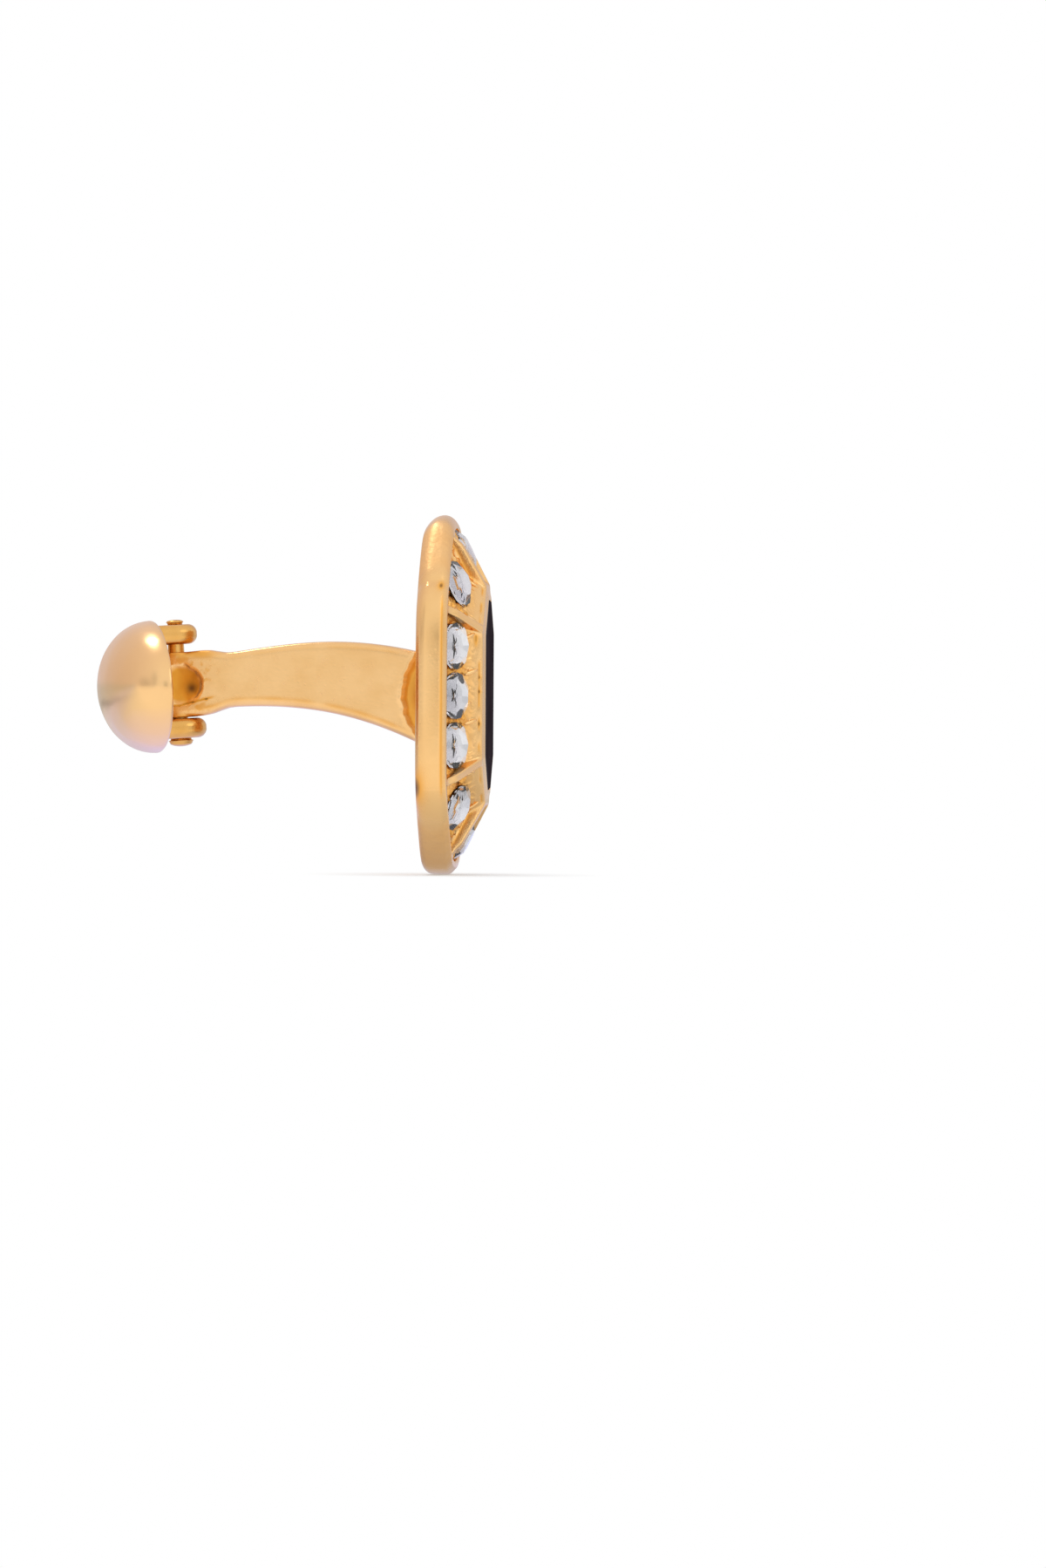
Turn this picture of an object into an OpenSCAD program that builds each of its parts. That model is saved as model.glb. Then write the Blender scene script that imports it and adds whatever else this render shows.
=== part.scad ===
// Swivel-bar cufflink: an octagonal head with a sloped channel of round stones
// round a dark centre stone, a curved post, and an oval bar hinged on its end.
// The X axis runs from the bar to the front of the head, and Z up the head's long way.
// The origin is the middle of the flat edge that the head stands on.

/* [Head] */
// Length of the head, the long way
head_len = 20; // [18:0.5:24]
// Width of the head, the short way
head_w = 15; // [13.5:0.5:18]
// Leg of the 45 degree cut across each corner
corner_leg = 4.7; // [4.4:0.1:5.2]
// Height of the outer wall, from the back face to the crease
wall_h = 1.45; // [1.35:0.05:1.7]
// Radius of the rounded back edge
back_round = 0.5; // [0.2:0.05:0.6]
// Chamfer between the outer wall and the rim's land, across the land
rim_bevel = 0.28; // [0.1:0.02:0.35]
// Height of the rim's land above the crease
rim_rise = 0.3; // [0.2:0.02:0.4]
// Width of the outer rim, seen from the front
rim_w = 0.72; // [0.6:0.02:0.76]

/* [Channel] */
// Width of the channel floor, from the rim to the foot of the bezel
channel_w = 2.48; // [2.4:0.02:2.7]
// Depth of the channel below the rim's land, at the rim
channel_drop = 0.48; // [0.35:0.02:0.55]
// Slope of the channel floor, in degrees
slope = 26; // [20:1:30]
// Width of the hip bars that cross the channel at the corners
bar_w = 0.46; // [0.3:0.02:0.6]
// Height of the hip bars above the floor, at the rim
bar_h = 0.44; // [0.2:0.02:0.46]
// Radius of the claws between the stones
claw_r = 0.17; // [0.1:0.01:0.2]
// Length of a claw along the slope
claw_len = 0.75; // [0.5:0.05:0.8]

/* [Bezel] */
// Width of the bezel's sloped flank
flank_w = 0.55; // [0.4:0.05:0.7]
// Height of the bezel's sloped flank
flank_h = 0.8; // [0.6:0.05:0.9]
// Width of the softened edge at the top of the bezel
bezel_bevel = 0.2; // [0.1:0.02:0.3]
// Width of the bezel's land round the centre stone
bezel_land = 0.65; // [0.5:0.05:0.8]
// Width of the ledge that the centre stone sits on
ledge_w = 0.6; // [0.4:0.05:0.8]

/* [Stones] */
// Diameter of a round stone
stone_d = 2.6; // [2.3:0.05:2.65]
// Distance between the round stones of a long side
stone_pitch = 2.75; // [2.7:0.01:2.8]
// Height of the table above the girdle
crown_h = 0.42; // [0.3:0.02:0.5]
// Diameter of the table
table_d = 1.45; // [1.1:0.05:1.6]
// Angle of the pavilion, in degrees
pavilion_angle = 40; // [36:1:42]
// Thickness of the girdle
girdle_t = 0.1; // [0.04:0.01:0.16]
// Height of the girdle's middle above the channel floor
girdle_lift = 0.18; // [0.1:0.02:0.24]
// Thickness of the centre stone
centre_t = 1.25; // [1:0.05:1.5]
// Bevel round the centre stone's table
centre_bevel = 0.22; // [0.1:0.02:0.3]

/* [Back plate] */
// Thickness of the back plate
plate_t = 0.8; // [0.6:0.05:0.95]
// Width of the wall left round the back plate
plate_margin = 0.62; // [0.6:0.02:0.8]

/* [Post] */
// Distance from the back of the head to the hinge axis
reach = 13.8; // [12:0.2:16]
// Height of the post's root below the middle of the head
root_drop = 0.28; // [0:0.02:0.6]
// Height of the hinge above the middle of the head
hinge_rise = 0.42; // [0.2:0.02:0.8]
// Thickness of the post
post_t = 2; // [1.7:0.05:2.1]
// Width of the post at the head
root_w = 5.15; // [4.4:0.05:5.6]
// Width of the post at its narrowest
neck_w = 3.05; // [2.6:0.05:3.3]
// Height of the knuckle that the hinge pin goes through
knuckle_h = 3.62; // [3.4:0.02:3.7]
// Radius of the post's soft edges
edge_r = 0.36; // [0.2:0.02:0.45]
// Radius of the flared solder foot
foot_r = 1.25; // [0.8:0.05:1.3]
// Diameter of the round detent pocket in each side of the knuckle
pocket_d = 2.1; // [1.8:0.05:2.3]
// Depth of the detent pocket
pocket_depth = 0.3; // [0.15:0.05:0.35]

/* [Swivel bar] */
// Length of the oval bar
bar_len = 12.8; // [12:0.2:16]
// Width of the oval bar
bar_width = 7.36; // [7:0.1:8.4]
// Height of the dome above the bar's flat face
dome_h = 3.2; // [2.7:0.1:3.4]
// Height of the bar's widest line above its flat face
girth_h = 0.22; // [0.1:0.02:0.3]
// Wall of the domed shell
shell_t = 0.5; // [0.4:0.05:0.6]
// Distance from the hinge axis to the bar's flat face
face_gap = 1.22; // [1.2:0.02:1.4]
// Thickness of the base plate
base_t = 0.5; // [0.4:0.05:0.6]
// Turn of the bar in the photographed pose, in degrees from square
swivel = 14; // [0:1:30]
// Lean of the hinge axis from upright, in degrees
lean = 3.5; // [0:0.5:6]

/* [Hinge] */
// Diameter of the hinge pin
pin_d = 0.9; // [0.8:0.02:1]
// Thickness of each ear
ear_t = 1.1; // [0.9:0.05:1.1]
// Radius of the upper ear round the pin
ear_r = 1.2; // [1.1:0.05:1.4]
// Radius of the lower ear round the pin
low_ear_r = 1.45; // [1.2:0.05:1.5]
// Softened edge of each ear
ear_soft = 0.2; // [0.1:0.02:0.3]
// Free height between the ears
ear_gap = 4.12; // [3.9:0.02:4.2]
// Height of the ear gap's middle above the middle of the bar
ear_rise = 0.22; // [0.1:0.02:0.26]
// Diameter of the formed rivet head under the lower ear
rivet_d = 1.5; // [1.2:0.05:1.8]
// Thickness of the formed rivet head
rivet_t = 0.45; // [0.3:0.05:0.6]
// Diameter of the factory head on the upper ear
factory_d = 1.1; // [1:0.05:1.4]
// Thickness of the factory head
factory_t = 0.28; // [0.2:0.02:0.4]

/* [Detent spring] */
// Thickness of the leaf
leaf_t = 0.2; // [0.12:0.02:0.24]
// Width of the leaf
leaf_w = 1.4; // [1:0.1:1.6]
// Length of the flat crown that bears on the knuckle
crown_len = 1.2; // [0.8:0.1:1.4]
// Length of each sloped leg, along the bar
leg_len = 1; // [0.8:0.1:1.1]
// Length of each foot
foot_len = 1; // [0.6:0.1:1.2]

/* [Hidden] */
// Running clearances: round the pin, under the knuckle, between fixed parts, at the leaf
pin_clear = 0.03;
knuckle_clear = 0.06;
seat_clear = 0.02;
leaf_clear = 0.1;
// One overrun serves every cut
overrun = 1;
curve_fn = 48;
$fn = curve_fn;

// Eight sides, numbered from the bottom edge; even ones are straight sides, odd ones corners
sides = 8;
side_turn = 360 / sides;
half_len = head_len / 2;
half_w = head_w / 2;
long_half = half_len - corner_leg;
short_half = half_w - corner_leg;
corner_dist = (half_w + long_half) / sqrt(2);
corner_mid = (half_len - half_w) / sqrt(2);
corner_half = corner_leg / sqrt(2);
// For each side: its distance from the middle, where its midpoint lies along it, and half its length
side_table = [for (turn = [0, 1]) each [
    [half_len, 0, short_half], [corner_dist, -corner_mid, corner_half],
    [half_w, 0, long_half], [corner_dist, corner_mid, corner_half]
]];
cut_len = 2 * (head_len + head_w);

// The head's profile: inset from the outer edge against height above the back face
rim_top = wall_h + rim_rise;
floor_low = rim_top - channel_drop;
floor_rise = tan(slope);
foot_inset = rim_w + channel_w;
floor_high = floor_low + channel_w * floor_rise;
flank_inset = foot_inset + flank_w;
flank_top = floor_high + flank_h;
land_inset = flank_inset + bezel_bevel;
bezel_top = flank_top + bezel_bevel;
stone_inset = land_inset + bezel_land;
window_inset = stone_inset + ledge_w;

// Round stones sit in the middle of the channel
stone_r = stone_d / 2;
row_share = 0.56;
row_inset = rim_w + channel_w * row_share;
cone_rise = tan(pavilion_angle);
pavilion_h = stone_r * cone_rise + girdle_t / 2;
bisect = 180 / sides;
stone_low_share = 0.72;
// Stones along each side, from the bottom, and how much smaller they are cut if its hip bars stand too close
stone_counts = [1, 1, 3, 1, 1, 1, 3, 1];
side_shares = [for (side = [0 : sides - 1])
    let (room = 2 * (side_table[side][2] - row_inset * tan(bisect)) - bar_w + stone_pitch - stone_d)
    min(1, room / (stone_counts[side] * stone_pitch))];
first_side = sides / 2;
stone_places = [for (i = [0 : sides - 1]) let (side = (first_side + i) % sides)
    each stone_row(side, stone_counts[side] - 1)];
stone_count = len(stone_places);
// Claws stand a share of their length from the rim and from the bezel
claw_shares = [0.33, 0.25];
centre_top = bezel_top + centre_bevel / 2;
ledge_h = centre_top - centre_t;

// The head stands on the flat of its lowest side, between the rounded back and the crease
stand_mid = (back_round + wall_h) / 2;
hinge_x = -stand_mid - reach;
hinge_z = half_len + hinge_rise;

// The post's middle line is one cubic curve from the head to the hinge
root_angle = 20;
tip_dip = 2.5;
tip_angle = lean + tip_dip;
root_handle_share = 0.42;
tip_handle_share = 0.36;
root_point = [-stand_mid, half_len - root_drop];
hinge_point = [hinge_x, hinge_z];
curve_points = [
    root_point,
    root_point + reach * root_handle_share * [-cos(root_angle), sin(root_angle)],
    hinge_point + reach * tip_handle_share * [cos(tip_angle), sin(tip_angle)],
    hinge_point
];
post_steps = 30;
corner_steps = 5;
// Where the taper ends and where the knuckle's full height begins, as shares of the reach
neck_share = 0.78;
knuckle_share = 0.89;
taper_power_share = 1.25;
// The foot's fillets: the bow of their edge, how far they run into the strap, and its own stretch of strap
bow_share = 3;
foot_sink = 0.05;
foot_share = 0.14;
foot_steps = 4;

// Levels along the hinge axis, from the middle of the bar
gap_low = ear_rise - ear_gap / 2;
gap_high = ear_rise + ear_gap / 2;
knuckle_low = gap_low + knuckle_clear;
knuckle_mid = knuckle_low + knuckle_h / 2;
pocket_shift_share = 0.14;
// How far a rivet's head draws in from its widest
head_taper_share = 0.8;

// The bar's oval: points round it, steps up its dome and round its edge, and how far the edge draws in
oval_fn = 56;
dome_steps = 9;
edge_steps = 3;
edge_inset_share = 0.8;
window_half = crown_len / 2 + leg_len + 2 * leaf_t;
leaf_face = face_gap - (post_t / 2 + leaf_clear);

stone_names = [for (i = [1 : stone_count]) str("stone_", i < 10 ? "0" : "", i)];

// Height of the channel floor at an inset from the outer edge
function floor_at(inset) = floor_low + (inset - rim_w) * floor_rise;

// Point on the post's middle line
function curve_at(t, p) =
    pow(1 - t, 3) * p[0] + 3 * t * pow(1 - t, 2) * p[1] + 3 * t * t * (1 - t) * p[2] + pow(t, 3) * p[3];
function smooth(u) = u <= 0 ? 0 : u >= 1 ? 1 : u * u * (3 - 2 * u);

// Width of the post: a taper from the root to the neck, then a swell to the knuckle
function taper(u) = neck_w + (root_w - neck_w) * pow(max(0, 1 - u / neck_share), taper_power_share);
function post_width(u) =
    taper(u) + (knuckle_h - neck_w) * smooth((u - neck_share) / (knuckle_share - neck_share));

// Corner of a rounded rectangle: points round a quarter circle
function quarter(cx, cy, r, from) = [
    for (i = [0 : corner_steps]) let (a = from + 90 * i / corner_steps) [cx + r * cos(a), cy + r * sin(a)]
];
function round_rect(w, t, r) = let (x = w / 2 - r, y = t / 2 - r) concat(
    quarter(x, y, r, 0), quarter(-x, y, r, 90), quarter(-x, -y, r, 180), quarter(x, -y, r, 270)
);

// One section of the post: upright at the head, and leaning with the hinge at the knuckle
function post_ring(t, thick, round) =
    let (c = curve_at(t, curve_points), u = (root_point[0] - c[0]) / reach)
    let (n = [-sin(lean * u), cos(lean * u)])
    [for (q = round_rect(post_width(u), thick, round)) [c[0] + n[0] * q[0], q[1], c[1] + n[1] * q[0]]];

// Places along one side, a pitch apart and centred: side number and distance along the side
function stone_row(side, last) = let (pitch = stone_pitch * side_shares[side])
    [for (i = [0 : last]) [side, (i - last / 2) * pitch]];

// The head is drawn flat, front up, and stood on its edge
module stand_up() {
    translate([-stand_mid, 0, half_len]) rotate([0, 90, 0]) children();
}

// Moves a shape to one side of the octagon, X pointing out from the edge
module on_side(side, inset, along) {
    s = side_table[side];
    rotate([0, 0, side * side_turn]) translate([s[0] - inset, s[1] + along, 0]) children();
}

module octagon(inset) {
    long_end = half_len - inset;
    wide_end = half_w - inset;
    lx = long_half - inset * tan(bisect);
    sy = short_half - inset * tan(bisect);
    polygon([
        [long_end, -sy], [long_end, sy], [lx, wide_end], [-lx, wide_end],
        [-long_end, sy], [-long_end, -sy], [-lx, -wide_end], [lx, -wide_end]
    ]);
}

// A cutter along one side, from its profile of inset against height
module side_cut(side, profile) {
    on_side(side, 0, 0) rotate([90, 0, 0]) linear_extrude(cut_len, center = true)
        polygon([for (p = profile) [-p[0], p[1]]]);
}

// Places a shape on the channel floor, square to the slope
module on_floor(side, inset, along) {
    on_side(side, inset, along) translate([0, 0, floor_at(inset)]) rotate([0, slope, 0]) children();
}

// Space round one stone: a cone for its pavilion and a round well above the floor
module stone_seat() {
    drop = pavilion_h - girdle_lift;
    cone_r = drop / cone_rise / cos(bisect) + seat_clear;
    translate([0, 0, -drop]) cylinder(h = drop, r1 = 0, r2 = cone_r);
    cylinder(h = crown_h + girdle_lift + overrun, r = stone_r + seat_clear);
}

// Bar across the channel at the corner where one side meets the next, flush with the bezel
module hip_bar(side) {
    profile = [[rim_w / 2, floor_low], [rim_w / 2, floor_low + bar_h], [rim_w, floor_low + bar_h],
        [land_inset, bezel_top], [land_inset, floor_high - bar_h], [foot_inset, floor_high - bar_h]];
    on_side(side, 0, side_table[side][2]) rotate([0, 0, bisect]) rotate([90, 0, 0])
        linear_extrude(bar_w, center = true) polygon([for (p = profile) [-p[0] / cos(bisect), p[1]]]);
}

// Claws stand in pairs on both sides of each stone, by the rim and by the bezel
module claws(side, along) {
    for (inset = [rim_w + claw_len * claw_shares[0], foot_inset - claw_len * claw_shares[1]])
        on_floor(side, inset, along) rotate([0, 90, 0]) cylinder(h = claw_len, r = claw_r, center = true);
}

// Cast frame: outer rim, sloped channel, hip bars, claws, bezel and stone seats
module setting_frame() {
    color("goldenrod") stand_up() difference() {
        union() {
            difference() {
                linear_extrude(bezel_top) octagon(0);
                for (side = [0 : sides - 1]) side_cut(side, [
                    [-overrun, floor_at(-overrun)], [foot_inset, floor_high],
                    [flank_inset, flank_top], [land_inset, bezel_top],
                    [land_inset, bezel_top + overrun], [-overrun, bezel_top + overrun]
                ]);
            }
            linear_extrude(rim_top) difference() {
                octagon(0);
                octagon(rim_w);
            }
            for (side = [0 : sides - 1]) hip_bar(side);
            for (side = [0 : sides - 1]) for (p = stone_row(side, stone_counts[side])) claws(p[0], p[1]);
        }
        for (side = [0 : sides - 1]) {
            side_cut(side, [
                [-overrun, wall_h], [0, wall_h], [rim_bevel, rim_top],
                [rim_bevel, rim_top + overrun], [-overrun, rim_top + overrun]
            ]);
            on_side(side, 0, 0) rotate([90, 0, 0]) linear_extrude(cut_len, center = true) difference() {
                translate([-back_round, -overrun]) square([back_round + overrun, back_round + overrun]);
                translate([-back_round, back_round]) circle(back_round);
            }
        }
        translate([0, 0, -overrun]) linear_extrude(plate_t + overrun) octagon(plate_margin);
        translate([0, 0, ledge_h]) linear_extrude(bezel_top) octagon(stone_inset);
        linear_extrude(bezel_top) octagon(window_inset);
        for (p = stone_places) on_floor(p[0], row_inset, p[1]) scale(side_shares[p[0]]) stone_seat();
    }
}

// Plate that closes the back of the frame and carries the post
module back_plate() {
    color("darkgoldenrod") stand_up() linear_extrude(plate_t) octagon(plate_margin + seat_clear);
}

// Dark centre stone with a bevelled table
module centre_stone() {
    color([0.09, 0.08, 0.1]) stand_up() difference() {
        translate([0, 0, ledge_h]) linear_extrude(centre_t) octagon(stone_inset + seat_clear);
        for (side = [0 : sides - 1]) side_cut(side, [
            [stone_inset - overrun, centre_top - centre_bevel - overrun / 2],
            [stone_inset + seat_clear, centre_top - centre_bevel],
            [stone_inset + seat_clear + centre_bevel, centre_top],
            [stone_inset + seat_clear + centre_bevel, centre_top + overrun],
            [stone_inset - overrun, centre_top + overrun]
        ]);
    }
}

// Round stone with an eightfold crown and pavilion, girdle at height zero
module round_stone() {
    n = 8;
    step = 360 / n;
    table_r = table_d / 2;
    mid_r = (table_r + stone_r) / 2 + girdle_t / 2;
    low_r = stone_r * stone_low_share;
    crown_fall = (crown_h - girdle_t / 2) / (stone_r - table_r);
    mid_z = crown_h - (mid_r * cos(step / 2) - table_r) * crown_fall;
    low_z = -girdle_t / 2 - (stone_r - low_r * cos(step / 2)) * cone_rise;
    ring_table = [for (i = [0 : n - 1]) [table_r * cos(i * step), table_r * sin(i * step), crown_h]];
    ring_mid = [for (i = [0 : n - 1]) let (a = (i + 0.5) * step) [mid_r * cos(a), mid_r * sin(a), mid_z]];
    ring_low = [for (i = [0 : n - 1]) let (a = (i + 0.5) * step) [low_r * cos(a), low_r * sin(a), low_z]];
    function girdle(z) = [for (i = [0 : 2 * n - 1]) let (a = i * step / 2)
        [stone_r * cos(a), stone_r * sin(a), z]];
    points = concat(
        ring_table, ring_mid, girdle(girdle_t / 2), girdle(-girdle_t / 2), ring_low, [[0, 0, -pavilion_h]]
    );
    mid = n;
    top = 2 * n;
    bottom = 4 * n;
    low = 6 * n;
    culet = 7 * n;
    faces = concat(
        [[for (i = [n - 1 : -1 : 0]) i]],
        [for (i = [0 : n - 1]) let (j = (i + 1) % n) [i, j, mid + i]],
        [for (i = [0 : n - 1]) [i, mid + i, top + 2 * i, mid + (i + n - 1) % n]],
        [for (i = [0 : n - 1]) [mid + i, top + 2 * i + 1, top + 2 * i]],
        [for (i = [0 : n - 1]) [mid + i, top + (2 * i + 2) % (2 * n), top + 2 * i + 1]],
        [for (i = [0 : 2 * n - 1]) let (j = (i + 1) % (2 * n)) [top + i, top + j, bottom + j, bottom + i]],
        [for (i = [0 : n - 1]) [bottom + 2 * i, bottom + 2 * i + 1, low + i]],
        [for (i = [0 : n - 1]) [bottom + 2 * i + 1, bottom + (2 * i + 2) % (2 * n), low + i]],
        [for (i = [0 : n - 1]) [bottom + 2 * i, low + i, culet, low + (i + n - 1) % n]]
    );
    polyhedron(points, faces);
}

module stone(i) {
    p = stone_places[i];
    color("whitesmoke") stand_up() on_floor(p[0], row_inset, p[1])
        scale(side_shares[p[0]]) translate([0, 0, girdle_lift]) round_stone();
}

// Turns a shape from the hinge's own frame to its place; Z runs along the pin
module at_hinge() {
    translate([hinge_x, 0, hinge_z]) rotate([0, -lean, 0]) children();
}

module at_bar() {
    at_hinge() rotate([0, 0, swivel]) children();
}

// A stretch of the post's curved strap, swept through rounded sections
module strap(to, steps, thick, round) {
    rings = [for (i = [0 : steps]) post_ring(to * i / steps, thick, round)];
    m = len(rings[0]);
    last = steps * m;
    polyhedron(
        [for (r = rings, p = r) p],
        concat(
            [[for (j = [0 : m - 1]) j]],
            [for (i = [0 : steps - 1], j = [0 : m - 1]) let (k = (j + 1) % m, a = i * m, b = a + m)
                [a + j, b + j, b + k, a + k]],
            [[for (j = [m - 1 : -1 : 0]) last + j]]
        )
    );
}

// Flared foot with a hollow fillet on each side, bowed like a lens
module post_foot() {
    bow_r = foot_r * bow_share;
    tube_y = post_t / 2 + foot_r - foot_sink;
    bow_x = root_point[0] - foot_r + bow_r;
    difference() {
        intersection() {
            strap(foot_share, foot_steps, 2 * tube_y, edge_r);
            translate([bow_x, 0, root_point[1]]) rotate([90, 0, 0])
                cylinder(h = 4 * tube_y, r = bow_r, center = true);
        }
        for (s = [-1, 1]) translate([bow_x, s * tube_y, root_point[1]]) rotate([90, 0, 0])
            rotate_extrude() translate([bow_r, 0]) circle(foot_r);
    }
}

// Post: strap, knuckle with the pin's bore, detent pockets and foot
module post() {
    pocket_x = pocket_shift_share * pocket_d;
    color("gold") difference() {
        union() {
            strap(1, post_steps, post_t, edge_r);
            post_foot();
            at_hinge() translate([0, 0, knuckle_low]) cylinder(h = knuckle_h, d = post_t);
        }
        at_hinge() cylinder(h = 2 * knuckle_h, d = pin_d + 2 * pin_clear, center = true);
        for (s = [-1, 1]) at_hinge() translate([pocket_x, s * (post_t / 2 - pocket_depth), knuckle_mid])
            rotate([-90 * s, 0, 0]) cylinder(h = overrun, d = pocket_d);
    }
}

// Points round an oval, as shares of its two half sizes
function oval(len_y, width_z) = [
    for (i = [0 : oval_fn - 1]) let (a = 360 * i / oval_fn) [len_y / 2 * cos(a), width_z / 2 * sin(a)]
];

// Oval solid through a list of levels, each a height and a share of the outline, up to a crown
module oval_solid(len_y, width_z, levels, crown_x) {
    n = oval_fn;
    last = (len(levels) - 1) * n;
    polyhedron(
        concat(
            [for (l = levels, q = oval(len_y, width_z)) [l[0], q[0] * l[1], q[1] * l[1]]],
            [[crown_x, 0, 0]]
        ),
        concat(
            [[for (j = [n - 1 : -1 : 0]) j]],
            [for (i = [0 : len(levels) - 2], j = [0 : n - 1]) let (k = (j + 1) % n, a = i * n, b = a + n)
                [a + j, a + k, b + k, b + j]],
            [for (j = [0 : n - 1]) [last + j, last + (j + 1) % n, last + n]]
        )
    );
}

// Levels of a dome that rises from a height towards minus X
function dome_levels(from, rise) = [
    for (i = [0 : dome_steps - 1]) let (a = 90 * i / dome_steps) [from - rise * sin(a), cos(a)]
];

// Domed shell of the bar, open on its flat side
module bar_shell() {
    edge_share = 1 - 2 * girth_h * edge_inset_share / bar_width;
    edge_levels = [for (i = [0 : edge_steps - 1]) let (a = 90 * i / edge_steps)
        [-girth_h * (1 - cos(a)), edge_share + (1 - edge_share) * sin(a)]];
    color("gold") at_bar() translate([-face_gap, 0, 0]) difference() {
        oval_solid(bar_len, bar_width, concat(edge_levels, dome_levels(-girth_h, dome_h - girth_h)), -dome_h);
        oval_solid(bar_len - 2 * shell_t, bar_width - 2 * shell_t,
            concat([[overrun, 1]], dome_levels(-base_t, dome_h - shell_t - base_t)), shell_t - dome_h);
    }
}

// Oval base plate let into the shell, with a window for the leaf spring
module bar_base() {
    trim = 2 * (shell_t + seat_clear);
    color("darkgoldenrod") at_bar() difference() {
        translate([-face_gap - base_t, 0, 0]) rotate([90, 0, 90]) linear_extrude(base_t)
            polygon(oval(bar_len - trim, bar_width - trim));
        translate([-face_gap - base_t - overrun, -window_half, -leaf_w / 2 - leaf_t])
            cube([base_t + 2 * overrun, 2 * window_half, leaf_w + 2 * leaf_t]);
    }
}

// Ear soldered to the base plate, bored for the pin, with all its edges softened
module ear(low, r) {
    half = [[r - ear_soft, 0], [r, ear_soft], [r, ear_t - ear_soft], [r - ear_soft, ear_t]];
    color("gold") at_bar() translate([0, 0, low]) difference() {
        union() {
            rotate_extrude() polygon(concat([[0, 0]], half, [[0, ear_t]]));
            rotate([90, 0, -90]) linear_extrude(face_gap)
                polygon(concat(half, [for (i = [len(half) - 1 : -1 : 0]) [-half[i][0], half[i][1]]]));
        }
        translate([0, 0, -overrun]) cylinder(h = ear_t + 2 * overrun, d = pin_d);
        translate([-face_gap - 2 * r, -2 * r, -overrun]) cube([2 * r, 4 * r, ear_t + 2 * overrun]);
    }
}

module ear_upper() {
    ear(gap_high, ear_r);
}

module ear_lower() {
    ear(gap_low - ear_t, low_ear_r);
}

// Rivet that the bar swings on, with a factory head above and a formed head below
module hinge_pin() {
    low = gap_low - ear_t;
    high = gap_high + ear_t;
    color("gold") at_bar() union() {
        translate([0, 0, low - rivet_t / 2])
            cylinder(h = high - low + (rivet_t + factory_t) / 2, d = pin_d);
        translate([0, 0, low - rivet_t]) cylinder(h = rivet_t, d1 = rivet_d * head_taper_share, d2 = rivet_d);
        translate([0, 0, high]) cylinder(h = factory_t, d1 = factory_d, d2 = factory_d * head_taper_share);
    }
}

// Leaf spring: feet behind the base plate, crown through its window to the knuckle
module detent_spring() {
    top = -face_gap + leaf_face;
    back = -face_gap - base_t;
    half = crown_len / 2;
    wide = half + leg_len;
    side = [[half, top], [wide, back], [wide + foot_len, back], [wide + foot_len, back - leaf_t],
        [wide - leaf_t, back - leaf_t], [half - leaf_t, top - leaf_t]];
    mirrored = [for (i = [len(side) - 1 : -1 : 0]) [-side[i][0], side[i][1]]];
    outline = concat(side, mirrored);
    color("silver") at_bar() rotate([0, 0, 90]) linear_extrude(leaf_w, center = true)
        polygon([for (p = outline) [p[0], -p[1]]]);
}

setting_frame();
back_plate();
centre_stone();
for (i = [0 : stone_count - 1]) stone(i);
post();
bar_shell();
bar_base();
ear_upper();
ear_lower();
hinge_pin();
detent_spring();
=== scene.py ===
import math
import random

import bmesh
import bpy
import numpy as np
from mathutils import Matrix, Quaternion, Vector, noise


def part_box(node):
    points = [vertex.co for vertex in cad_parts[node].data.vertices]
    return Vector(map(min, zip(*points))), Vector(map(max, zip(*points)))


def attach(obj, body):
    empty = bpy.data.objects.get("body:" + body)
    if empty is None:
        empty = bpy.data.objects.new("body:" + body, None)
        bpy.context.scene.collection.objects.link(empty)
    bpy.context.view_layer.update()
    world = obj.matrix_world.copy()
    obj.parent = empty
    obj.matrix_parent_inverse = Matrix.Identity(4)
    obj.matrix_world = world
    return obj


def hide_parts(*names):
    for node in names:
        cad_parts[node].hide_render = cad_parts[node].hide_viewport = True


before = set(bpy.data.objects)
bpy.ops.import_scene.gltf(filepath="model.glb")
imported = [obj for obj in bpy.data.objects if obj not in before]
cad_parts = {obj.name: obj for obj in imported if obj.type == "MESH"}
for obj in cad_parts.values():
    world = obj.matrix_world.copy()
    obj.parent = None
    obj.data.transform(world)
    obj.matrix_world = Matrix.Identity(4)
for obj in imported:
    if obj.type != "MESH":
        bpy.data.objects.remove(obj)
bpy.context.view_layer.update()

mm = 0.001


# The cast setting frame: one gilt casting that holds the outer rim, the sloped channel for the
# round stones, the flat bars across its corners and the bezel of the centre stone.
# Cast in one piece, tumbled so that its edges are soft, polished on the rim and gilt all over.
frame_grain, frame_passes, frame_triangles = 0.062, 4, 190000
head_back, head_middle = -0.975, 10.0
half_len, half_wide, corner_leg = 10.0, 7.5, 4.7
corner_distance = (half_wide + half_len - corner_leg) / math.sqrt(2)
mitre_half = 2 * math.sin(math.radians(22.5))
rim_width, rim_top, channel_foot, flank_end, bezel_edge, bezel_top = 0.72, 1.75, 3.2, 3.75, 3.95, 3.48
seat_tilt = math.radians(26)
floor_start, floor_rise, bar_rise = 1.27, math.tan(seat_tilt), 0.44
# The bezel's lip is pressed over the centre stone. Each pair is where it begins and where it is full.
lip_insets, lip_heights, lip_reach, lip_lift = (4.15, 4.55), (3.2, 3.4), 0.16, 0.1


def mesh_piece(name, mesh):
    """An object for a finished mesh, at the origin."""
    piece = bpy.data.objects.new(name, mesh)
    bpy.context.scene.collection.objects.link(piece)
    return piece


def finished_mesh(piece):
    """A piece's mesh with its modifiers applied."""
    return bpy.data.meshes.new_from_object(piece.evaluated_get(bpy.context.evaluated_depsgraph_get()))


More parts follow.
